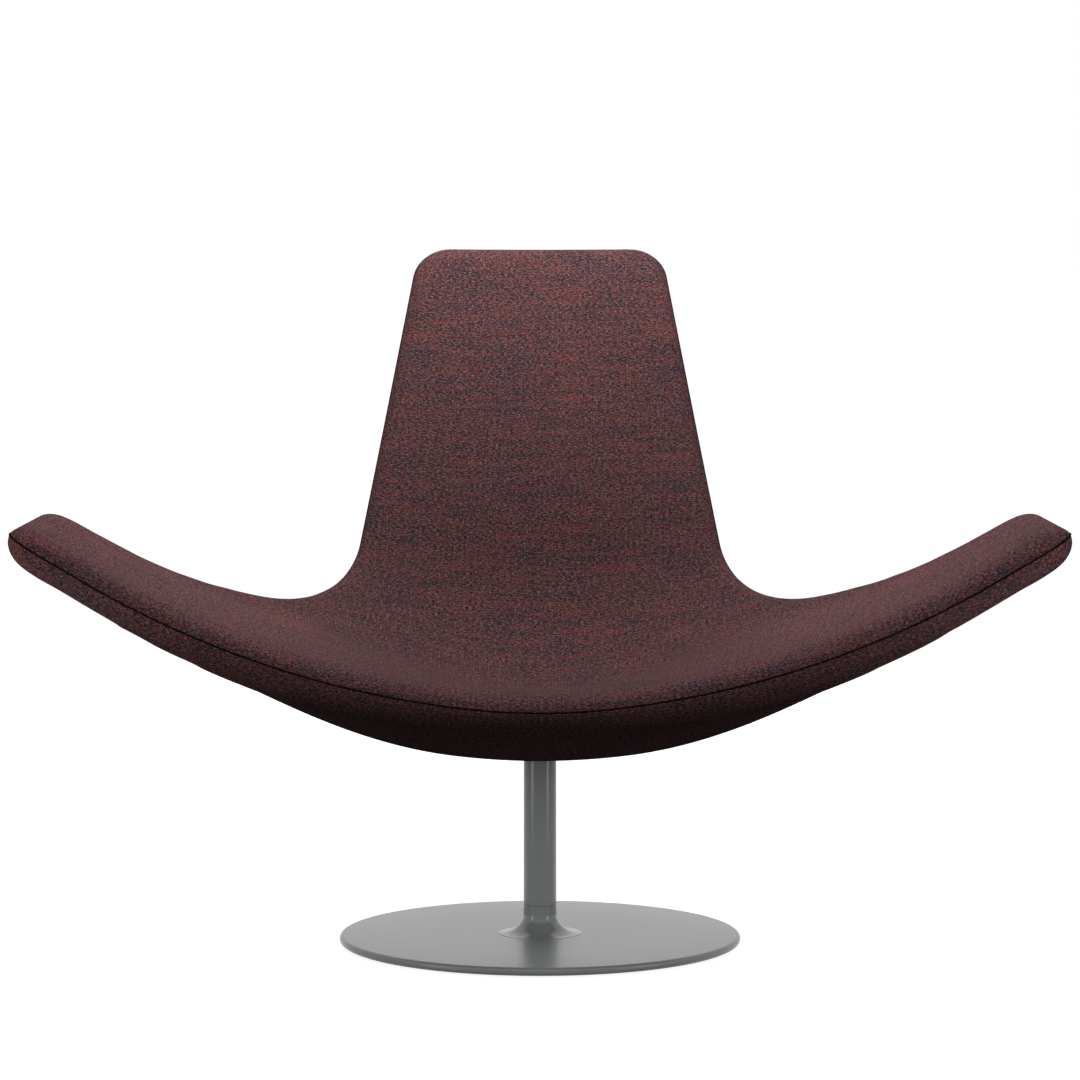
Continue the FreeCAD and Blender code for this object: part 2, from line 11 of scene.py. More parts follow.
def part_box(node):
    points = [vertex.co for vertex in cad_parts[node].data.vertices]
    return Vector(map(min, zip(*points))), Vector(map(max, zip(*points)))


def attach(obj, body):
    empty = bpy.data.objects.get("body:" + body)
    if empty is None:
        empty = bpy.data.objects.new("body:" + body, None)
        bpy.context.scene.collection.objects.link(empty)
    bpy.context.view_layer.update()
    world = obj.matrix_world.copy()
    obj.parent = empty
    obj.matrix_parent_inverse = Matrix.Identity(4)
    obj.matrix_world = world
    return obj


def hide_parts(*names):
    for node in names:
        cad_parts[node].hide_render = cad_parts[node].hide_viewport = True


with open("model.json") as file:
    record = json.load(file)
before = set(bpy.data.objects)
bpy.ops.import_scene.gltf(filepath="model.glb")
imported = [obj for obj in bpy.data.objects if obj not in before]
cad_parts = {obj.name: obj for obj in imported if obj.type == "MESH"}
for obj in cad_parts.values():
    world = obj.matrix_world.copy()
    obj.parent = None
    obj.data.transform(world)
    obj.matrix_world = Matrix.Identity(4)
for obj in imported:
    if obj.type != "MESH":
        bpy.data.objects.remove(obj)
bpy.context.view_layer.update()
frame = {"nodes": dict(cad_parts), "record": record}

bl_info = {
    "name": "Winged Swivel Lounge Chair",
    "version": (1, 0, 0),
    "blender": (4, 5, 0),
    "location": "3D View > Sidebar > Lounge Chair",
    "description": "Dresses the chair's solids: upholstered shell, edge seam, turned pedestal and stage",
    "category": "Object",
}


def length(name, description, default):
    return FloatProperty(name=name, description=description, default=default, unit="LENGTH", precision=4)


def angle(name, description, degrees):
    return FloatProperty(name=name, description=description, default=math.radians(degrees), subtype="ANGLE")


def colour(name, description, default):
    return FloatVectorProperty(
        name=name, description=description, default=default, size=3, subtype="COLOR", min=0.0, max=1.0
    )


def amount(name, description, default):
    return FloatProperty(name=name, description=description, default=default, min=0.0)


class ShellSizes(bpy.types.PropertyGroup):
    """Shape of the upholstered shell over its flat pattern."""

    seat_front_y: length("Seat front Y", "Front seam at the middle, from the column", -0.340)
    seat_front_z: length("Seat front Z", "Height of the front seam at the middle", 0.3509)
    seat_rise: angle("Seat rise", "Slope of the seat towards the back", 1.0)
    seat_run: length("Seat run", "Straight length of the seat", 0.340)
    bend_radius: length("Bend radius", "Bend from the seat into the back", 0.270)
    back_lean: angle("Back lean", "Lean of the back from upright", 24.0)
    dip_radius: length("Dip radius", "Arc in the middle of the front view", 0.840)
    dip_angle: angle("Dip angle", "Slope where the middle arc ends", 6.5)
    wing_radius: length("Wing radius", "Arc between the middle and the straight wing", 1.246)
    wing_angle: angle("Wing angle", "Slope of the straight wing", 30.2)
    hollow_radius: length("Back hollow radius", "Hollow across the back", 1.500)
    fade_start: length("Fade start", "Where the wings begin to fade into the back", 0.420)
    fade_end: length("Fade end", "Where the wings have faded into the back", 0.860)
    front_bow: length("Front bow", "Radius of the front edge", 14.0)
    tip_front: FloatVectorProperty(
        name="Wing front corner", description="Across, along and rounding", default=(0.682, 0.026, 0.046),
        size=3, unit="LENGTH",
    )
    tip_rear: FloatVectorProperty(
        name="Wing rear corner", description="Across, along and rounding", default=(0.677, 0.352, 0.058),
        size=3, unit="LENGTH",
    )
    armpit: FloatVectorProperty(
        name="Armpit", description="Across, along and rounding", default=(0.274, 0.520, 0.225),
        size=3, unit="LENGTH",
    )
    top: FloatVectorProperty(
        name="Top corner", description="Across, along and rounding", default=(0.1755, 1.107, 0.054),
        size=3, unit="LENGTH",
    )
    top_crown: length("Top crown", "Rise of the top edge at the middle", 0.004)
    top_bow: length("Top bow", "Radius of the top edge", 4.0)
    front_pad: length("Front padding", "Padding above the seam", 0.021)
    front_round: length("Front rounding", "Rounding of the front edge", 0.026)
    rear_pad: length("Rear padding", "Padding below the seam", 0.0305)
    rear_round: length("Rear rounding", "Rounding of the rear edge", 0.038)
    seat_hollow: length("Seat hollow", "Depth of the hollow where the seat meets the back", 0.044)
    hollow_along: length("Seat hollow place", "Middle of the hollow along the shell", 0.430)
    hollow_length: length("Seat hollow length", "Length of the hollow along the shell", 0.210)
    hollow_across: length("Seat hollow width", "Half width of the hollow", 0.340)
    belly: length("Belly", "Extra padding under the seat", 0.068)
    belly_along: length("Belly place", "Middle of the belly along the shell", 0.300)
    belly_length: length("Belly length", "Length of the belly along the shell", 0.220)
    belly_flat: length("Belly flat", "Half width of the belly's flat middle", 0.105)
    belly_across: length("Belly width", "Half width of the belly", 0.638)
    thinning: length("Edge thinning", "How much thinner the front edge is in the middle", 0.024)
    thinning_along: length("Edge thinning length", "Reach of the thin edge along the shell", 0.110)
    thinning_across: length("Edge thinning width", "Half width of the thin edge", 0.400)
    pocket_width: length("Pocket width", "Opening under the seat for its plate", 0.146)
    pocket_depth: length("Pocket depth", "Opening under the seat for its plate", 0.126)


class CoverSizes(bpy.types.PropertyGroup):
    """Cloth cover and its seam."""

    edge_step: length("Edge step", "Spacing of the cover's points along the edge", 0.011)
    grid_step: length("Grid step", "Spacing of the cover's points over the panels", 0.012)
    groove: length("Seam groove", "How far the cover pulls in at the seam", 0.0012)
    groove_width: length("Seam groove width", "Reach of the groove each side of the seam", 0.0012)
    thread: length("Seam thread", "Radius of the thread in the groove", 0.0010)
    slack: length("Slack", "How far the cover starts inside the foam", 0.0008)
    swell: length("Swell", "Most that the foam presses the cover out", 0.0020)
    pressure: amount("Pressure", "Pressure of the padding on the cover", 4.0)
    frames: IntProperty(name="Frames", description="Steps of the stretch", default=12, min=1)


class ClothLook(bpy.types.PropertyGroup):
    """Yarn colours of the melange cloth."""

    red: colour("Brick yarn", "Main warm yarn", (0.205, 0.059, 0.050))
    navy: colour("Navy yarn", "Main dark yarn", (0.038, 0.034, 0.046))
    pale: colour("Pale yarn", "Greyish pink flecks", (0.230, 0.165, 0.160))
    ink: colour("Ink yarn", "Blackish flecks", (0.012, 0.011, 0.017))
    sheen: amount("Sheen", "Fuzz of the wool at a glancing angle", 0.03)
    thread: colour("Seam thread", "Thread in the edge seam", (0.0040, 0.0032, 0.0034))


class PedestalLook(bpy.types.PropertyGroup):
    """Finish and edges of the pedestal."""

    paint: colour("Paint", "Satin grey paint", (0.300, 0.309, 0.312))
    tube_wall: length("Tube wall", "Wall of the column", 0.003)
    neck: length("Neck height", "Where the foot's flare meets the column, above the floor", 0.040)
    disc_rough: amount("Disc roughness", "Roughness of the disc's paint", 0.27)
    column_rough: amount("Column roughness", "Roughness of the column's paint", 0.13)
    edge: length("Turned edge", "Rounding of the column's ends", 0.0006)
    hold: length("Holding edge", "From a turned edge to the hoop that keeps the wall straight", 0.0015)
    lip: length("Foot lip", "Thickness of the foot's thin outer edge", 0.0003)
    steps: IntProperty(name="Turning steps", description="Points round a turned piece", default=128, min=16)


class StageSizes(bpy.types.PropertyGroup):
    """Camera and light."""

    camera_distance: length("Camera distance", "From the column's axis", 5.364)
    camera_height: length("Camera height", "Above the floor", 0.9354)
    camera_pitch: angle("Camera pitch", "Below level", 4.12)
    lens: FloatProperty(name="Lens", description="Focal length in millimetres", default=132.53)
    sky: amount("Sky", "Strength of the even light", 0.36)
    overhead: amount("Overhead", "Power of the softbox over the chair", 2.5)
    top: amount("Top", "Power of the softbox near the top of the back", 4.0)
    wing: amount("Wing", "Power of each softbox above a wing", 0.2)
    strips: amount("Strips", "Power of each upright softbox beside the camera", 10.0)
    rear: amount("Rear", "Power of the softbox behind the chair", 60.0)
    low: amount("Low", "Power of each low softbox under a wing", 0.16)
    glints: amount("Glints", "Power of each low strip that only mirrors on the paint", 1.6)
    floor_bounce: amount("Floor bounce", "Share of light that the floor sends up", 0.05)
    floor_glow: amount("Floor glow", "Own light of the floor, as it is seen", 0.88)
    floor_shade: amount("Floor shade", "Share of light that the floor sends back, as it is seen", 0.5)


class ChairSettings(bpy.types.PropertyGroup):
    """All that a user would change."""

    shell: PointerProperty(type=ShellSizes)
    cover: PointerProperty(type=CoverSizes)
    cloth: PointerProperty(type=ClothLook)
    pedestal: PointerProperty(type=PedestalLook)
    stage: PointerProperty(type=StageSizes)


# Shell form over the flat pattern: across from the middle, along from the front seam

def smooth(t):
    t = np.clip(t, 0.0, 1.0)
    return t * t * (3 - 2 * t)


def bell(value, centre, reach):
    return np.exp(-(((value - centre) / reach) ** 2))


class ShellForm:
    """Places points of the flat pattern in space."""

    def __init__(self, sizes):
        self.sizes = sizes
        self.back_slope = math.pi / 2 - sizes.back_lean

    def spine(self, along):
        """Side profile at the middle: y, z and slope."""
        s = self.sizes
        rise = s.seat_rise
        turn = np.clip((along - s.seat_run) / s.bend_radius, 0.0, self.back_slope - rise)
        slope = rise + turn
        run = np.minimum(along, s.seat_run)
        back = np.maximum(along - s.seat_run - s.bend_radius * (self.back_slope - rise), 0.0)
        y = run * math.cos(rise) + s.bend_radius * (np.sin(slope) - math.sin(rise))
        z = run * math.sin(rise) + s.bend_radius * (math.cos(rise) - np.cos(slope))
        y = s.seat_front_y + y + back * math.cos(self.back_slope)
        z = s.seat_front_z + z + back * math.sin(self.back_slope)
        return y, z, slope

    def wing_rise(self, across):
        """Front view: a tight arc, a wide arc, then a straight wing."""
        s = self.sizes
        x = np.abs(across)
        dip_x = s.dip_radius * math.sin(s.dip_angle)
        dip_z = s.dip_radius * (1 - math.cos(s.dip_angle))
        wing_x = dip_x + s.wing_radius * (math.sin(s.wing_angle) - math.sin(s.dip_angle))
        wing_z = dip_z + s.wing_radius * (math.cos(s.dip_angle) - math.cos(s.wing_angle))
        dip = s.dip_radius - np.sqrt(s.dip_radius ** 2 - np.minimum(x, dip_x) ** 2)
        sine = np.clip((x - dip_x) / s.wing_radius + math.sin(s.dip_angle), 0.0, math.sin(s.wing_angle))
        wing = dip_z + s.wing_radius * (math.cos(s.dip_angle) - np.sqrt(1 - sine ** 2))
        straight = wing_z + (x - wing_x) * math.tan(s.wing_angle)
        return np.where(x <= dip_x, dip, np.where(x <= wing_x, wing, straight))

    def seam_point(self, across, along):
        s = self.sizes
        y, z, slope = self.spine(along)
        fade = smooth((along - s.fade_start) / (s.fade_end - s.fade_start))
        lift = self.wing_rise(across) * (1 - fade) + fade * across ** 2 / (2 * s.hollow_radius)
        return np.stack([across, y - np.sin(slope) * lift, z + np.cos(slope) * lift], axis=-1)

    def point(self, across, along, height):
        """Point at a height square to the seam surface."""
        step = 0.001
        across_way = self.seam_point(across + step, along) - self.seam_point(across - step, along)
        along_way = self.seam_point(across, along + step) - self.seam_point(across, along - step)
        normal = np.cross(across_way, along_way)
        normal /= np.linalg.norm(normal, axis=-1, keepdims=True)
        return self.seam_point(across, along) + normal * height[..., None]

    def pad(self, side, across, along):
        """Padding above (side 1) or below (side -1) the seam surface, as a height."""
        s = self.sizes
        if side > 0:
            middle = 1 - smooth(np.abs(across) / s.hollow_across)
            return s.front_pad - s.seat_hollow * middle * bell(along, s.hollow_along, s.hollow_length)
        middle = 1 - smooth((np.abs(across) - s.belly_flat) / (s.belly_across - s.belly_flat))
        belly = s.belly * middle * bell(along, s.belly_along, s.belly_length)
        edge = 1 - smooth(np.abs(across) / s.thinning_across)
        return -s.rear_pad - belly + s.thinning * edge * bell(along, 0.0, s.thinning_along)


# Modelling helpers

# Points closer than this are one
SAME = 1e-6


def new_piece(name, bm):
    """Finished object at the origin from a bmesh."""
    mesh = bpy.data.meshes.new(name)
    bm.to_mesh(mesh)
    bm.free()
    piece = bpy.data.objects.new(name, mesh)
    bpy.context.scene.collection.objects.link(piece)
    return piece


def joined(bm, points):
    """Wire through points in X and Z, for turning."""
    verts = [bm.verts.new((x, 0.0, z)) for x, z in points]
    return verts, [bm.edges.new(pair) for pair in zip(verts, verts[1:])]


def turned(bm, edges, steps):
    """Turns a wire about the column's axis."""
    verts = list(dict.fromkeys(vert for edge in edges for vert in edge.verts))
    bmesh.ops.spin(
        bm, geom=verts + edges, cent=(0, 0, 0), axis=(0, 0, 1), dvec=(0, 0, 0),
        angle=2 * math.pi, steps=steps, use_merge=True, use_normal_flip=False, use_duplicate=False,
    )
    bmesh.ops.remove_doubles(bm, verts=bm.verts[:], dist=SAME)
    bmesh.ops.recalc_face_normals(bm, faces=bm.faces[:])


def hoop_edges(bm, radius, z):
    """Edges of the circle at a radius and height."""
    def on(vert):
        return max(abs(vert.co.xy.length - radius), abs(vert.co.z - z)) < 10 * SAME
    return [edge for edge in bm.edges if on(edge.verts[0]) and on(edge.verts[1])]


def rounded(bm, edges, offset, segments):
    bmesh.ops.bevel(
        bm, geom=edges, offset=offset, offset_type="OFFSET", segments=segments,
        profile=0.5, affect="EDGES", material=-1, clamp_overlap=True,
    )


def set_in_order(bm):
    """Puts edges and faces in the order of their points, so that the cloth stretches alike in each run."""
    bm.verts.index_update()
    for items in (bm.edges, bm.faces):
        ranked = sorted(items, key=lambda item: sorted(vert.index for vert in item.verts))
        rank = {item: i for i, item in enumerate(ranked)}
        items.sort(key=lambda item: rank[item])


def cad_span(node):
    """Radius, lowest and highest point of a round CAD node."""
    low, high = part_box(node)
    return (high[0] - low[0]) / 2, low[2], high[2]


# Materials

class Number:
    """A shader value that takes part in Python arithmetic."""

    def __init__(self, finish, socket):
        self.finish = finish
        self.socket = socket

    def _math(self, operation, *values):
        node = self.finish.node("ShaderNodeMath", {"operation": operation}, dict(enumerate(values)))
        return Number(self.finish, node.outputs[0])

    def __add__(self, other):
        return self._math("ADD", self, other)

    def __radd__(self, other):
        return self._math("ADD", other, self)

    def __sub__(self, other):
        return self._math("SUBTRACT", self, other)

    def __rsub__(self, other):
        return self._math("SUBTRACT", other, self)

    def __mul__(self, other):
        return self._math("MULTIPLY", self, other)

    def __rmul__(self, other):
        return self._math("MULTIPLY", other, self)

    def most(self, other):
        return self._math("MAXIMUM", self, other)


class Shading:
    """A node tree under construction."""

    def __init__(self, tree):
        self.tree = tree

    def node(self, kind, settings=None, inputs=None):
        """Adds a node: its settings first, then the values or links of its sockets."""
        node = self.tree.nodes.new(kind)
        for key, value in (settings or {}).items():
            setattr(node, key, value)
        for key, value in (inputs or {}).items():
            self.feed(node.inputs[key], value)
        return node

    def feed(self, socket, value):
        if isinstance(value, Number):
            value = value.socket
        if isinstance(value, bpy.types.NodeSocket):
            self.tree.links.new(value, socket)
        else:
            socket.default_value = value

    def mixed(self, share, first, second):
        """Node of a shader between two shaders' nodes."""
        inputs = {0: share, 1: first.outputs[0], 2: second.outputs[0]}
        return self.node("ShaderNodeMixShader", None, inputs)

    def seen(self):
        """1 for rays from the camera, mirrors and glass, 0 for the light that surfaces gather."""
        path = self.node("ShaderNodeLightPath").outputs
        seen = Number(self, path["Is Camera Ray"]).most(Number(self, path["Is Glossy Ray"]))
        return seen.most(Number(self, path["Is Transmission Ray"]))


class Finish(Shading):
    """A material with a Principled shader."""

    def __init__(self, name, **constants):
        self.material = bpy.data.materials.new(name)
        self.material.use_nodes = True
        super().__init__(self.material.node_tree)
        self.shader = self.tree.nodes["Principled BSDF"]
        for socket, value in constants.items():
            self.shader.inputs[socket.replace("_", " ")].default_value = value

    def place(self, scale=(1, 1, 1), shift=(0, 0, 0), uv=None):
        """Object coordinates, or a UV map's, scaled and shifted."""
        if uv:
            source = self.node("ShaderNodeUVMap", {"uv_map": uv}).outputs["UV"]
        else:
            source = self.node("ShaderNodeTexCoord").outputs["Object"]
        inputs = {"Vector": source, "Location": shift, "Scale": scale}
        return self.node("ShaderNodeMapping", None, inputs).outputs["Vector"]

    def noise(self, place, detail=2.0, rough=0.5):
        inputs = {"Vector": place, "Scale": 1.0, "Detail": detail, "Roughness": rough}
        return Number(self, self.node("ShaderNodeTexNoise", None, inputs).outputs["Fac"])

    def step(self, value, low, high, start=0.0, end=1.0):
        """Soft step of a value from start to end."""
        inputs = {"Value": value, "From Min": low, "From Max": high, "To Min": start, "To Max": end}
        node = self.node("ShaderNodeMapRange", {"interpolation_type": "SMOOTHSTEP"}, inputs)
        return Number(self, node.outputs["Result"])

    def mix(self, share, first, second):
        """Colour between two colours, each a socket or red, green and blue."""
        first, second = [(*tone, 1.0) if isinstance(tone, tuple) else tone for tone in (first, second)]
        return self.node("ShaderNodeMix", {"data_type": "RGBA"}, {0: share, 6: first, 7: second}).outputs[2]

    def bump(self, height, strength, distance):
        inputs = {"Height": height, "Strength": strength, "Distance": distance}
        self.paint("Normal", self.node("ShaderNodeBump", None, inputs).outputs["Normal"])

    def paint(self, socket, value):
        self.feed(self.shader.inputs[socket], value)


def melange_cloth(look):
    """Woven wool: brick and navy yarns in streaks, with pale and ink flecks, sized per metre of cloth."""
    cloth = Finish(
        "melange_cloth", Sheen_Weight=look.sheen, Sheen_Roughness=0.55, Sheen_Tint=(0.85, 0.74, 0.74, 1.0),
        Specular_IOR_Level=0.0,
    )
    streak = cloth.noise(cloth.place((13, 150, 1), uv="pattern"), detail=3.0, rough=0.6)
    patch = cloth.noise(cloth.place((7, 20, 1), (3, 7, 0), uv="pattern"), detail=2.0)
    yarn = cloth.noise(cloth.place((190, 860, 1), uv="pattern"), detail=1.0, rough=0.5)
    fleck = cloth.noise(cloth.place((250, 900, 1), (11, 5, 0), uv="pattern"), detail=0.0)
    speck = cloth.noise(cloth.place((230, 860, 1), (5, 17, 0), uv="pattern"), detail=0.0)
    blend = yarn + (streak - 0.5) * 0.38 + (patch - 0.5) * 0.12
    body = cloth.mix(cloth.step(blend, 0.48, 0.55), tuple(look.navy), tuple(look.red))
    body = cloth.mix(cloth.step(fleck, 0.60, 0.68, 0.0, 0.85), body, tuple(look.pale))
    body = cloth.mix(cloth.step(speck, 0.57, 0.65, 0.0, 0.85), body, tuple(look.ink))
    cloth.paint("Base Color", body)
    cloth.paint("Roughness", 0.82 + 0.12 * yarn)
    cloth.bump(yarn + fleck * 0.6 - speck * 0.4, 0.55, 0.0007)
    return cloth.material


def seam_thread(look):
    """Twisted dark thread along the seam."""
    thread = Finish("seam_thread", Specular_IOR_Level=0.0)
    twist = thread.noise(thread.place((900, 900, 900)), detail=2.0)
    lighter = tuple(2.4 * part for part in look.thread)
    thread.paint("Base Color", thread.mix(thread.step(twist, 0.35, 0.65), tuple(look.thread), lighter))
    thread.paint("Roughness", 0.75 + 0.15 * twist)
    thread.bump(twist, 0.4, 0.0003)
    return thread.material


def satin_paint(name, look, rough):
    """Satin powder paint with a fine orange peel, faint clouding and light scuffs."""
    paint = Finish(name, Specular_IOR_Level=0.45)
    cloud = paint.noise(paint.place((6, 6, 6)), detail=3.0)
    peel = paint.noise(paint.place((620, 620, 620)), detail=2.0)
    scuff = paint.noise(paint.place((35, 35, 90), (4, 9, 2)), detail=6.0, rough=0.7)
    darker, lighter, rubbed = [
        tuple(min(1.0, share * part) for part in look.paint) for share in (0.93, 1.06, 1.22)
    ]
    tone = paint.mix(paint.step(cloud + (peel - 0.5) * 0.2, 0.30, 0.70), darker, lighter)
    paint.paint("Base Color", paint.mix(paint.step(scuff, 0.66, 0.80, 0.0, 0.15), tone, rubbed))
    paint.paint("Roughness", rough + 0.08 * cloud + paint.step(scuff, 0.60, 0.80, 0.0, 0.05))
    paint.bump(peel, 0.10, 0.0002)
    return paint.material


def grained_finish(
    name, scale, detail, dark, pale, rough, rough_swing, relief, depth, edge=0.3, fray=0.5, **constants
):
    """A finish whose colour, roughness and fine relief follow one grain."""
    finish = Finish(name, **constants)
    grain = finish.noise(finish.place(scale), detail, fray)
    finish.paint("Base Color", finish.mix(finish.step(grain, edge, 1.0 - edge), dark, pale))
    finish.paint("Roughness", rough + rough_swing * grain)
    finish.bump(grain, relief, depth)
    return finish.material


def zinc_steel():
    """Zinc plate with a fine crystal mottle."""
    return grained_finish(
        "zinc_steel", scale=(260, 260, 260), detail=3.0, dark=(0.48, 0.49, 0.50), pale=(0.68, 0.68, 0.67),
        rough=0.26, rough_swing=0.22, relief=0.08, depth=0.0002, Metallic=1.0,
    )


def black_primer():
    """Thin black primer over rolled steel."""
    return grained_finish(
        "black_primer", scale=(40, 300, 300), detail=3.0, dark=(0.014, 0.014, 0.015),
        pale=(0.036, 0.035, 0.034), rough=0.45, rough_swing=0.25, relief=0.15, depth=0.0002,
        Specular_IOR_Level=0.4,
    )


def pressed_felt():
    """Matted wool fibres."""
    return grained_finish(
        "pressed_felt", scale=(700, 700, 700), detail=4.0, dark=(0.020, 0.020, 0.021),
        pale=(0.085, 0.084, 0.083), rough=0.88, rough_swing=0.10, relief=0.6, depth=0.0008, fray=0.7,
        Sheen_Weight=0.3,
    )


def bearing_plastic():
    """Moulded black acetal."""
    return grained_finish(
        "bearing_plastic", scale=(500, 500, 500), detail=2.0, dark=(0.018, 0.018, 0.018),
        pale=(0.034, 0.034, 0.034), rough=0.38, rough_swing=0.14, relief=0.12, depth=0.0002,
        Specular_IOR_Level=0.45,
    )


def elastic_webbing():
    """Ribbed elastic band."""
    return grained_finish(
        "elastic_webbing", scale=(420, 420, 420), detail=2.0, dark=(0.10, 0.085, 0.07),
        pale=(0.26, 0.225, 0.19), rough=0.78, rough_swing=0.15, relief=0.5, depth=0.0005, edge=0.35,
        Sheen_Weight=0.1,
    )


# Flat pattern of the cover

def pattern_corners(shell):
    """Corners of the outline in order, with the radius of each."""
    half = [(0.0, 0.0, shell.front_bow), tuple(shell.tip_front), tuple(shell.tip_rear), tuple(shell.armpit)]
    half += [tuple(shell.top), (0.0, shell.top[1] + shell.top_crown, shell.top_bow)]
    return half + [(-x, s, r) for x, s, r in reversed(half[1:-1])]


def outline_loop(bm, shell, step):
    """Closed wire of the outline: corners joined, rounded, then divided evenly. Returns it in order."""
    corners = pattern_corners(shell)
    verts = [bm.verts.new((x, s, 0.0)) for x, s, _ in corners]
    for vert, following in zip(verts, verts[1:] + verts[:1]):
        bm.edges.new((vert, following))
    places = [vert.co.copy() for vert in verts]
    for i, vert in enumerate(verts):
        before, after = places[i] - places[i - 1], places[(i + 1) % len(places)] - places[i]
        turn = before.angle(after)
        radius = corners[i][2]
        bmesh.ops.bevel(
            bm, geom=[vert], offset=radius * math.tan(turn / 2), offset_type="ABSOLUTE",
            segments=max(4, round(radius * turn / step)), profile=0.5, affect="VERTICES", material=-1,
            clamp_overlap=False,
        )
    for edge in bm.edges[:]:
        cuts = round(edge.calc_length() / step) - 1
        if cuts > 0:
            bmesh.ops.subdivide_edges(bm, edges=[edge], cuts=cuts)
    loop = [min(bm.verts, key=lambda vert: vert.co.y)]
    ahead = max((edge.other_vert(loop[0]) for edge in loop[0].link_edges), key=lambda vert: vert.co.x)
    while ahead is not loop[0]:
        loop.append(ahead)
        ahead = next(
            edge.other_vert(ahead) for edge in ahead.link_edges if edge.other_vert(ahead) is not loop[-2]
        )
    return loop


def inward_ways(points):
    """Unit vectors into the outline, square to it."""
    along = np.roll(points, -1, axis=0) - np.roll(points, 1, axis=0)
    along /= np.linalg.norm(along, axis=1, keepdims=True)
    return np.stack([-along[:, 1], along[:, 0]], axis=1)


def extruded_ring(bm, ring, edges):
    """New ring from a ring of verts, in the same order, with its edges."""
    made = bmesh.ops.extrude_edge_only(bm, edges=edges)["geom"]
    fresh = {item for item in made if isinstance(item, bmesh.types.BMVert)}
    ring = [next(e.other_vert(v) for e in v.link_edges if e.other_vert(v) in fresh) for v in ring]
    return ring, ring_edges(bm, ring)


def ring_edges(bm, ring):
    return [bm.edges.get(pair) for pair in zip(ring, ring[1:] + ring[:1])]


# Degrees round the edge from the seam to the panel, closest together at the groove
FRONT_TURNS = (0, 2, 5, 9, 15, 23, 34, 47, 60, 75, 90)
REAR_TURNS = (0, 1, 3, 6, 10, 16, 24, 35, 48, 61, 75, 90)
# Rings lie at levels of their own until the cover is formed
RING_LEVEL = 0.01
# Grid points closer than this share of the grid step become one
SLIVER = 0.28
# Width of the pocket's upright sides on the pattern
POCKET_WALL = 0.0006
# Gap from the pocket's top to the plate above it
POCKET_GAP = 0.0008
# Share of the grid step round the pocket within which the cloth is held
POCKET_HELD = 0.6
# Where along the shell the pocket's sides are looked for
POCKET_SEARCH = np.linspace(0.1, 0.6, 501)


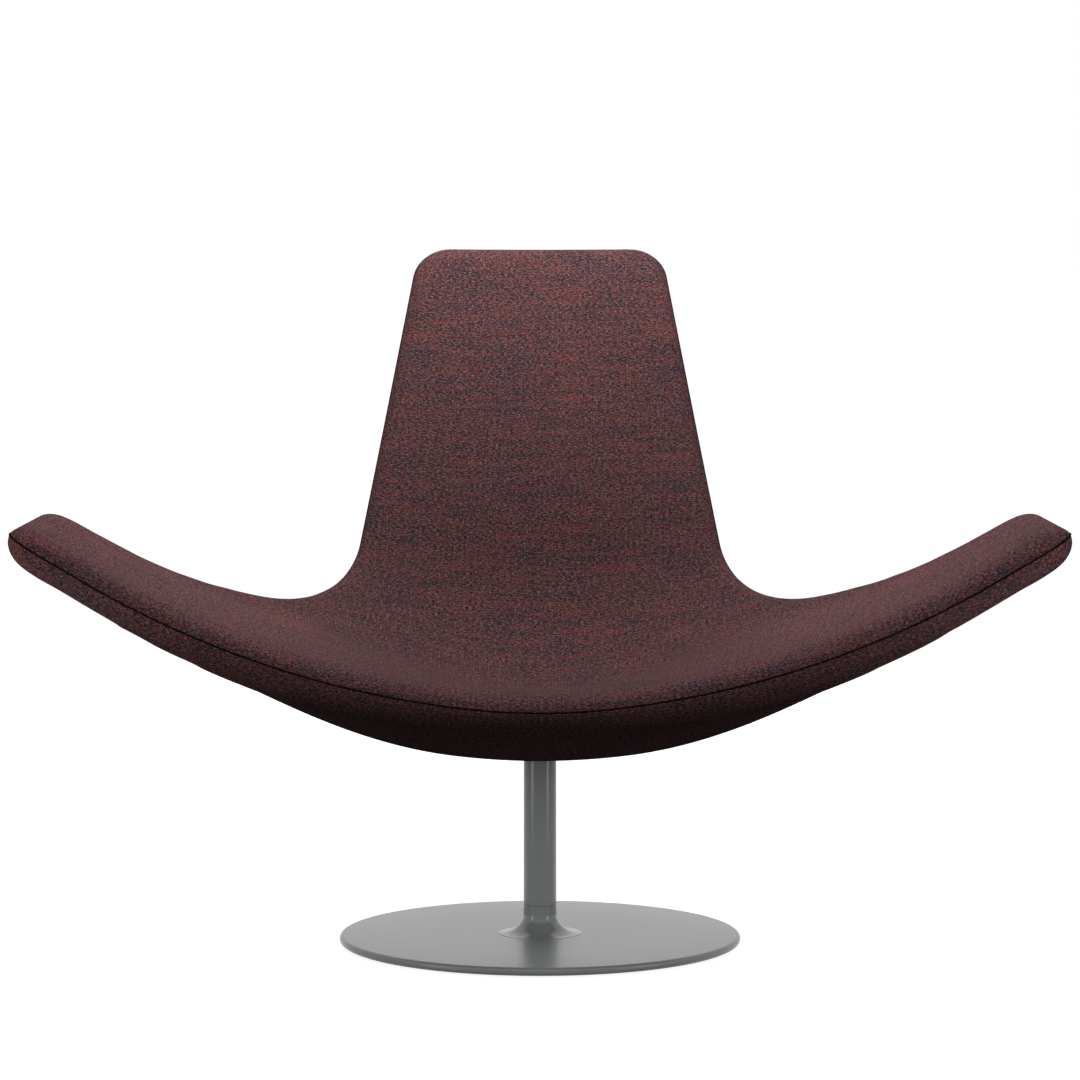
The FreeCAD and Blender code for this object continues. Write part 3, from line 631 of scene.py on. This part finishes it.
class CoverPattern:
    """The flat cover under construction, with the height and the cloth place of each point."""

    def __init__(self, form, cover):
        self.form = form
        self.cover = cover
        self.bm = bmesh.new()
        layers = self.bm.verts.layers
        self.height = layers.float.new("height")
        self.panel = layers.float.new("panel")
        self.cloth = {
            1: layers.float_vector.new("front_cloth"),
            -1: layers.float_vector.new("rear_cloth"),
        }
        self.side = self.bm.faces.layers.int.new("side")
        self.loop = outline_loop(self.bm, form.sizes, cover.edge_step)
        self.outline = np.array([vert.co.xy for vert in self.loop])
        self.inward = inward_ways(self.outline)

    def add_side(self, side, rounding, angles):
        """Rings from the seam over the rounded edge, then a panel cut into a grid."""
        before = set(self.bm.faces)
        insets, heights = [], []
        for turn in np.radians(angles):
            flat = self.outline + self.inward * rounding * (1 - math.cos(turn))
            height = self.form.pad(side, flat[:, 0], flat[:, 1]) * math.sin(turn)
            heights.append(height)
            groove = self.cover.groove * bell(height, 0.0, self.cover.groove_width)
            insets.append(rounding * (1 - math.cos(turn)) + groove)
        steps = np.hypot(np.diff(insets, axis=0), np.diff(heights, axis=0))
        reach = np.concatenate([np.cumsum(steps[::-1], axis=0)[::-1], np.zeros((1, len(self.loop)))])
        ring, edges = self.loop, ring_edges(self.bm, self.loop)
        last = len(angles) - 1
        for k in range(len(angles)):
            if k > 0:
                ring, edges = extruded_ring(self.bm, ring, edges)
            flat = self.outline + self.inward * insets[k][:, None]
            cloth = self.outline + self.inward * (insets[last] - reach[k])[:, None]
            for i, vert in enumerate(ring):
                vert.co = (*flat[i], RING_LEVEL * side * k)
                vert[self.height] = heights[k][i]
                vert[self.panel] = side if k == last else 0.0
                vert[self.cloth[side]] = (*cloth[i], 0.0)
        panel = bmesh.ops.edgeloop_fill(self.bm, edges=edges)["faces"]
        self.cut_grid(panel, side)
        for face in set(self.bm.faces) - before:
            face[self.side] = side

    def cut_grid(self, faces, side):
        """Cuts a flat panel along a square grid, and along the pocket's sides under the seat."""
        verts = [vert.co for face in faces for vert in face.verts]
        step = self.cover.grid_step
        for axis in (0, 1):
            low, high = min(co[axis] for co in verts), max(co[axis] for co in verts)
            places = [i * step for i in range(math.ceil(low / step), math.floor(high / step) + 1)]
            if side < 0:
                places = self.beside_pocket(places, axis)
            for place in places:
                faces = self.cut(faces, axis, place)

    def cut(self, faces, axis, place):
        """Cuts those faces that lie across a grid line."""
        crossed, rest = [], []
        for face in faces:
            spans = [vert.co[axis] for vert in face.verts]
            (crossed if min(spans) < place < max(spans) else rest).append(face)
        if not crossed:
            return faces
        normal = Vector((1 - axis, axis, 0))
        edges = dict.fromkeys(edge for face in crossed for edge in face.edges)
        verts = dict.fromkeys(vert for face in crossed for vert in face.verts)
        made = bmesh.ops.bisect_plane(
            self.bm, geom=[*verts, *edges, *crossed], dist=SAME, plane_co=normal * place, plane_no=normal
        )
        return rest + [item for item in made["geom"] if isinstance(item, bmesh.types.BMFace)]

    def pocket_sides(self, axis):
        """Pocket's two sides across the pattern (axis 0) or along it (axis 1)."""
        sizes = self.form.sizes
        if axis == 0:
            return -sizes.pocket_width / 2, sizes.pocket_width / 2
        middle = np.zeros_like(POCKET_SEARCH)
        y = self.form.point(middle, POCKET_SEARCH, self.form.pad(-1, middle, POCKET_SEARCH))[:, 1]
        return tuple(np.interp((-sizes.pocket_depth / 2, sizes.pocket_depth / 2), y, POCKET_SEARCH))

    def beside_pocket(self, places, axis):
        """Grid lines clear of the pocket's sides, with a close pair of lines at each side."""
        low, high = self.pocket_sides(axis)
        clear = [p for p in places if min(abs(p - low), abs(p - high)) > 0.5 * self.cover.grid_step]
        return sorted(clear + [low, low + POCKET_WALL, high - POCKET_WALL, high])

    def near_pocket(self, across, along, margin):
        inside = np.ones(len(across), bool)
        for axis, place in enumerate((across, along)):
            low, high = self.pocket_sides(axis)
            inside &= (place > low - margin) & (place < high + margin)
        return inside

    def flat(self):
        return np.array([vert.co.xy for vert in self.bm.verts]).T

    def merge_slivers(self):
        """Joins the grid's points to the edge's where they fall close together."""
        kept = self.near_pocket(*self.flat(), self.cover.grid_step)
        verts = [vert for vert, keep in zip(self.bm.verts, kept) if vert[self.panel] and not keep]
        bmesh.ops.remove_doubles(self.bm, verts=verts, dist=SLIVER * self.cover.grid_step)

    def formed(self, ceiling):
        """Lifts the flat cover onto the shell's form, and returns how firmly each point is held."""
        bm, form = self.bm, self.form
        self.merge_slivers()
        across, along = self.flat()
        height = np.array([vert[self.height] for vert in bm.verts])
        panel = np.array([vert[self.panel] for vert in bm.verts])
        for side in (1, -1):
            height = np.where(panel * side > 0.5, form.pad(side, across, along), height)
        points = form.point(across, along, height)
        rear = panel < -0.5
        self.turned_in = rear & self.near_pocket(across, along, 0.5 * POCKET_WALL)
        points[rear & self.near_pocket(across, along, -0.5 * POCKET_WALL), 2] = ceiling
        for vert, point in zip(bm.verts, points):
            vert.co = point
        held = np.where(np.abs(panel) < 0.5, bell(height, 0.0, 2 * self.cover.groove_width), 0.0)
        held[rear & self.near_pocket(across, along, POCKET_HELD * self.cover.grid_step)] = 1.0
        return held

    def mesh(self, name):
        """Finished cover with its cloth pattern as a UV map."""
        bm = self.bm
        uv = bm.loops.layers.uv.new("pattern")
        bm.verts.index_update()
        for face in bm.faces:
            cloth = self.cloth[face[self.side]]
            wall = all(self.turned_in[vert.index] for vert in face.verts)
            for corner in face.loops:
                x, y, z = corner.vert.co
                corner[uv].uv = (x + y, z) if wall else corner.vert[cloth].xy
        floats, vectors = bm.verts.layers.float, bm.verts.layers.float_vector
        for label in ("height", "panel"):
            floats.remove(floats[label])
        for label in ("front_cloth", "rear_cloth"):
            vectors.remove(vectors[label])
        bm.faces.layers.int.remove(self.side)
        bmesh.ops.recalc_face_normals(bm, faces=bm.faces[:])
        set_in_order(bm)
        return new_piece(name, bm)


def coordinates(mesh):
    values = np.empty(len(mesh.vertices) * 3, np.float32)
    mesh.vertices.foreach_get("co", values)
    return values.reshape(-1, 3)


def set_coordinates(mesh, points):
    mesh.vertices.foreach_set("co", np.ascontiguousarray(points, np.float32).ravel())
    mesh.update()


# Points that are held less than this are left free
LOOSE = 0.05


def stretch(piece, held, cover):
    """Sinks the cover into the foam, then lets the foam press it out between its seams."""
    mesh = piece.data
    normals = np.empty(len(mesh.vertices) * 3, np.float32)
    mesh.vertex_normals.foreach_get("vector", normals)
    normals = normals.reshape(-1, 3)
    sunk = coordinates(mesh) - normals * (cover.slack * (1 - held))[:, None]
    set_coordinates(mesh, sunk)
    group = piece.vertex_groups.new(name="sewn")
    for i in np.nonzero(held > LOOSE)[0]:
        group.add([int(i)], float(held[i]), "REPLACE")
    cloth = piece.modifiers.new("stretch", "CLOTH")
    settings = cloth.settings
    settings.quality = 5
    settings.mass = 0.25
    settings.tension_stiffness = settings.compression_stiffness = 30.0
    settings.shear_stiffness = 12.0
    settings.bending_stiffness = 1.5
    settings.use_pressure = True
    settings.uniform_pressure_force = cover.pressure
    settings.vertex_group_mass = "sewn"
    settings.effector_weights.gravity = 0.0
    cloth.collision_settings.use_collision = False
    cloth.point_cache.frame_end = cover.frames
    for number in range(1, cover.frames + 1):
        bpy.context.scene.frame_set(number)
    swollen = piece.evaluated_get(bpy.context.evaluated_depsgraph_get())
    outwards = ((coordinates(swollen.data) - sunk) * normals).sum(axis=1)
    piece.modifiers.remove(cloth)
    piece.vertex_groups.remove(group)
    bpy.context.scene.frame_set(1)
    set_coordinates(mesh, sunk + normals * np.clip(outwards, 0.0, cover.swell)[:, None])


def subdivided(piece):
    finer = piece.modifiers.new("fine", "SUBSURF")
    finer.levels = finer.render_levels = 1
    finer.use_limit_surface = False


# Pieces

class CHAIR_OT_shell_cover(bpy.types.Operator):
    """Upholstered shell: front and rear panels that meet in the edge seam."""

    bl_idname = "chair.shell_cover"
    bl_label = "Shell cover"

    def execute(self, context):
        settings = context.scene.lounge_chair
        sizes, cover = settings.shell, settings.cover
        pattern = CoverPattern(ShellForm(sizes), cover)
        pattern.add_side(1, sizes.front_round, FRONT_TURNS)
        pattern.add_side(-1, sizes.rear_round, REAR_TURNS)
        held = pattern.formed(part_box("mount_plate")[0][2] - POCKET_GAP)
        piece = pattern.mesh("shell_cover")
        stretch(piece, held, cover)
        subdivided(piece)
        piece.data.shade_smooth()
        piece.data.materials.append(melange_cloth(settings.cloth))
        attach(piece, "seat")
        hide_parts("shell_pad")
        return {"FINISHED"}


# Sides of the thread's section
THREAD_SIDES = 8
# How far the thread's middle stands off the groove's floor, as a share of its radius
THREAD_OFF = 0.6


class CHAIR_OT_edge_seam(bpy.types.Operator):
    """Dark thread in the seam's groove, all round the edge."""

    bl_idname = "chair.edge_seam"
    bl_label = "Edge seam"

    def execute(self, context):
        settings = context.scene.lounge_chair
        form, cover = ShellForm(settings.shell), settings.cover
        bm = bmesh.new()
        ring = outline_loop(bm, settings.shell, cover.edge_step / 2)
        outline = np.array([vert.co.xy for vert in ring])
        inward = inward_ways(outline)
        edges = first_edges = ring_edges(bm, ring)
        for k in range(THREAD_SIDES):
            if k > 0:
                ring, edges = extruded_ring(bm, ring, edges)
            turn = 2 * math.pi * k / THREAD_SIDES
            inset = cover.groove + cover.thread * (math.cos(turn) - THREAD_OFF)
            flat = outline + inward * inset
            height = np.full(len(ring), cover.thread * math.sin(turn))
            for vert, point in zip(ring, form.point(flat[:, 0], flat[:, 1], height)):
                vert.co = point
        bmesh.ops.bridge_loops(bm, edges=first_edges + edges)
        bmesh.ops.recalc_face_normals(bm, faces=bm.faces[:])
        piece = new_piece("edge_seam", bm)
        piece.data.shade_smooth()
        piece.data.materials.append(seam_thread(settings.cloth))
        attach(piece, "seat")
        return {"FINISHED"}


# Ring that divides the disc's flat faces, as a share of its radius
DISC_RING = 0.6
# Rounding of the disc's rim, as a share of its thickness
DISC_ROUND = 0.49


class CHAIR_OT_base_disc(bpy.types.Operator):
    """Disc base with a full-round rim."""

    bl_idname = "chair.base_disc"
    bl_label = "Base disc"

    def execute(self, context):
        look = context.scene.lounge_chair.pedestal
        radius, low, high = cad_span("base_disc")
        bm = bmesh.new()
        ring = DISC_RING * radius
        points = [(0.0, low), (ring, low), (radius, low), (radius, high), (ring, high), (0.0, high)]
        turned(bm, joined(bm, points)[1], look.steps)
        rim = hoop_edges(bm, radius, low) + hoop_edges(bm, radius, high)
        rounded(bm, rim, DISC_ROUND * (high - low), segments=7)
        piece = new_piece("base_disc_turned", bm)
        piece.data.shade_smooth()
        piece.data.materials.append(satin_paint("disc_paint", look, look.disc_rough))
        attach(piece, "base")
        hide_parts("base_disc")
        return {"FINISHED"}


class CHAIR_OT_column(bpy.types.Operator):
    """Column tube and its flared foot, turned with eased ends so that the joint shows."""

    bl_idname = "chair.column"
    bl_label = "Column"

    def execute(self, context):
        look = context.scene.lounge_chair.pedestal
        paint = satin_paint("column_paint", look, look.column_rough)
        radius, joint, top = cad_span("column_tube")
        bore = radius - look.tube_wall
        bm = bmesh.new()
        wall = [(radius, z) for z in (joint, joint + look.hold, top - look.hold, top)]
        verts, edges = joined(bm, [(bore, joint), *wall, (bore, top)])
        edges.append(bm.edges.new((verts[-1], verts[0])))
        turned(bm, edges, look.steps)
        ends = hoop_edges(bm, radius, joint) + hoop_edges(bm, radius, top)
        rounded(bm, ends, look.edge, segments=3)
        tube = new_piece("column_tube_turned", bm)
        lip, floor, _ = cad_span("column_foot")
        bm = bmesh.new()
        lip_z = floor + look.lip
        flare = lip - radius
        start = bm.verts.new((lip, 0.0, 0.0))
        arc = bmesh.ops.spin(
            bm, geom=[start], cent=(lip, 0.0, flare), axis=(0, 1, 0), dvec=(0, 0, 0),
            angle=math.pi / 2, steps=18, use_merge=False, use_normal_flip=False, use_duplicate=False,
        )["geom_last"]
        end = next(item for item in arc if isinstance(item, bmesh.types.BMVert))
        bmesh.ops.scale(bm, vec=(1.0, 1.0, (look.neck - lip_z) / flare), verts=bm.verts[:])
        bmesh.ops.translate(bm, vec=(0.0, 0.0, lip_z), verts=bm.verts[:])
        corners = [(lip, floor), (bore, floor), (bore, joint), (radius, joint), (radius, joint - look.hold)]
        verts, _ = joined(bm, corners)
        bm.edges.new((start, verts[0]))
        bm.edges.new((verts[-1], end))
        turned(bm, bm.edges[:], look.steps)
        rounded(bm, hoop_edges(bm, radius, joint), look.edge, segments=3)
        rounded(bm, hoop_edges(bm, lip, lip_z), look.lip / 2, segments=2)
        foot = new_piece("column_foot_turned", bm)
        for piece, node in ((tube, "column_tube"), (foot, "column_foot")):
            piece.data.shade_smooth()
            piece.data.materials.append(paint)
            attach(piece, "base")
            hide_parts(node)
        return {"FINISHED"}


class CHAIR_OT_inner_finish(bpy.types.Operator):
    """Finishes of the pieces that stay as the solids have them."""

    bl_idname = "chair.inner_finish"
    bl_label = "Inner pieces"

    def execute(self, context):
        finishes = {
            "felt": pressed_felt(),
            "bright_steel": zinc_steel(),
            "bearing_plastic": bearing_plastic(),
            "frame_steel": black_primer(),
            "webbing": elastic_webbing(),
        }
        for part in frame["record"]["subparts"]:
            finish = finishes.get(part["material_slot"])
            if finish:
                node = frame["nodes"][part["node"]]
                node.data.materials.clear()
                node.data.materials.append(finish)
        return {"FINISHED"}


# Gap from the floor up to the felt
FLOOR_GAP = 0.0004
# How far the floor reaches from the column
FLOOR_REACH = 40.0


class CHAIR_OT_stage(bpy.types.Operator):
    """Pale floor, soft light and the camera."""

    bl_idname = "chair.stage"
    bl_label = "Stage"

    def execute(self, context):
        stage = context.scene.lounge_chair.stage
        scene = context.scene
        scene.view_settings.view_transform = "Standard"
        self.add_camera(scene, stage)
        self.add_softbox(
            "overhead", stage.overhead, place=(0.0, 0.05, 1.56), aim=(0.0, 0.05, 0.4), size=(1.3, 0.4)
        )
        self.add_softbox("top", stage.top, place=(0.0, 0.20, 1.35), aim=(0.0, 0.30, 0.6), size=(1.0, 0.3))
        self.add_softbox(
            "rear", stage.rear, place=(0.0, 3.4, 1.7), aim=(0.0, 0.0, 0.5), size=(2.2, 1.2),
            unseen=("glossy",),
        )
        for side in (-1, 1):
            self.add_softbox(
                "strip", stage.strips, place=(side * 2.2, -2.6, 1.3), aim=(0.0, 0.0, 0.4), size=(0.35, 1.4),
                unseen=("glossy",),
            )
            self.add_softbox(
                "low", stage.low, place=(side * 1.0, -0.60, 0.2), aim=(side * 0.6, -0.3, 0.55),
                size=(0.3, 0.3), spread=50, unseen=("glossy", "camera"),
            )
            self.add_softbox(
                "wing", stage.wing, place=(side * 0.75, -0.15, 1.45), aim=(side * 0.5, -0.13, 0.55),
                size=(0.3, 0.3), spread=40, unseen=("glossy", "camera"),
            )
            self.add_softbox(
                "glint", stage.glints, place=(side * 1.05, -0.75, 0.3), aim=(0.0, 0.0, 0.3),
                size=(0.30, 0.6), unseen=("diffuse", "camera"),
            )
        self.add_floor(stage)
        self.add_sky(scene, stage)
        return {"FINISHED"}

    def add_camera(self, scene, stage):
        camera = bpy.data.cameras.new("camera")
        camera.sensor_width = 36.0
        camera.lens = stage.lens
        holder = bpy.data.objects.new("camera", camera)
        holder.location = (0.0, -stage.camera_distance, stage.camera_height)
        holder.rotation_euler = (math.pi / 2 - stage.camera_pitch, 0.0, 0.0)
        scene.collection.objects.link(holder)
        scene.camera = holder

    def add_softbox(self, name, power, place, aim, size, spread=180, unseen=()):
        """Flat lamp with its spread in degrees, left out for the unseen kinds of ray."""
        lamp = bpy.data.lights.new(name, "AREA")
        lamp.shape = "RECTANGLE"
        lamp.size, lamp.size_y = size
        lamp.energy = power
        lamp.spread = math.radians(spread)
        holder = bpy.data.objects.new(name, lamp)
        holder.location = place
        holder.rotation_euler = (Vector(aim) - Vector(place)).to_track_quat("-Z", "Y").to_euler()
        for ray in unseen:
            setattr(holder, "visible_" + ray, False)
        bpy.context.scene.collection.objects.link(holder)

    def add_floor(self, stage):
        """Floor that is white to the eye, takes a soft shadow, and is clear from below."""
        bm = bmesh.new()
        below = Matrix.Translation((0.0, 0.0, -FLOOR_GAP))
        bmesh.ops.create_grid(bm, x_segments=2, y_segments=2, size=FLOOR_REACH, matrix=below)
        floor = new_piece("floor", bm)
        finish = Finish("pale_floor")
        white = (1, 1, 1, 1)
        glow = finish.node("ShaderNodeEmission", None, {"Color": white, "Strength": stage.floor_glow})
        shade, dim = [
            finish.node("ShaderNodeBsdfDiffuse", None, {"Color": (grey, grey, grey, 1)})
            for grey in (stage.floor_shade, stage.floor_bounce)
        ]
        pale = finish.node("ShaderNodeAddShader", None, {0: glow.outputs[0], 1: shade.outputs[0]})
        under = finish.node("ShaderNodeNewGeometry").outputs["Backfacing"]
        clear = finish.node("ShaderNodeBsdfTransparent")
        sided = finish.mixed(under, finish.mixed(finish.seen(), dim, pale), clear)
        finish.feed(finish.tree.nodes["Material Output"].inputs["Surface"], sided.outputs[0])
        finish.tree.nodes.remove(finish.shader)
        floor.data.materials.append(finish.material)

    def add_sky(self, scene, stage):
        """Even light behind a white background."""
        world = bpy.data.worlds.new("sky")
        scene.world = world
        world.use_nodes = True
        sky = Shading(world.node_tree)
        light, white = [
            sky.node("ShaderNodeBackground", None, {"Color": (1, 1, 1, 1), "Strength": strength})
            for strength in (stage.sky, 1.0)
        ]
        both = sky.mixed(sky.seen(), light, white)
        sky.feed(sky.tree.nodes["World Output"].inputs["Surface"], both.outputs[0])


class CHAIR_PT_pieces(bpy.types.Panel):
    """Chair pieces in the sidebar."""

    bl_idname = "CHAIR_PT_pieces"
    bl_label = "Lounge Chair"
    bl_space_type = "VIEW_3D"
    bl_region_type = "UI"
    bl_category = "Lounge Chair"

    def draw(self, context):
        for operator in OPERATORS:
            self.layout.operator(operator.bl_idname)


SETTINGS = (ShellSizes, CoverSizes, ClothLook, PedestalLook, StageSizes, ChairSettings)
OPERATORS = (
    CHAIR_OT_base_disc, CHAIR_OT_column, CHAIR_OT_inner_finish, CHAIR_OT_shell_cover, CHAIR_OT_edge_seam,
    CHAIR_OT_stage,
)


def register():
    for item in (*SETTINGS, *OPERATORS, CHAIR_PT_pieces):
        bpy.utils.register_class(item)
    bpy.types.Scene.lounge_chair = PointerProperty(type=ChairSettings)


def unregister():
    del bpy.types.Scene.lounge_chair
    for item in reversed((*SETTINGS, *OPERATORS, CHAIR_PT_pieces)):
        bpy.utils.unregister_class(item)


def main():
    register()
    for operator in OPERATORS:
        family, name = operator.bl_idname.split(".")
        getattr(getattr(bpy.ops, family), name)()


if __name__ == "__main__":
    main()
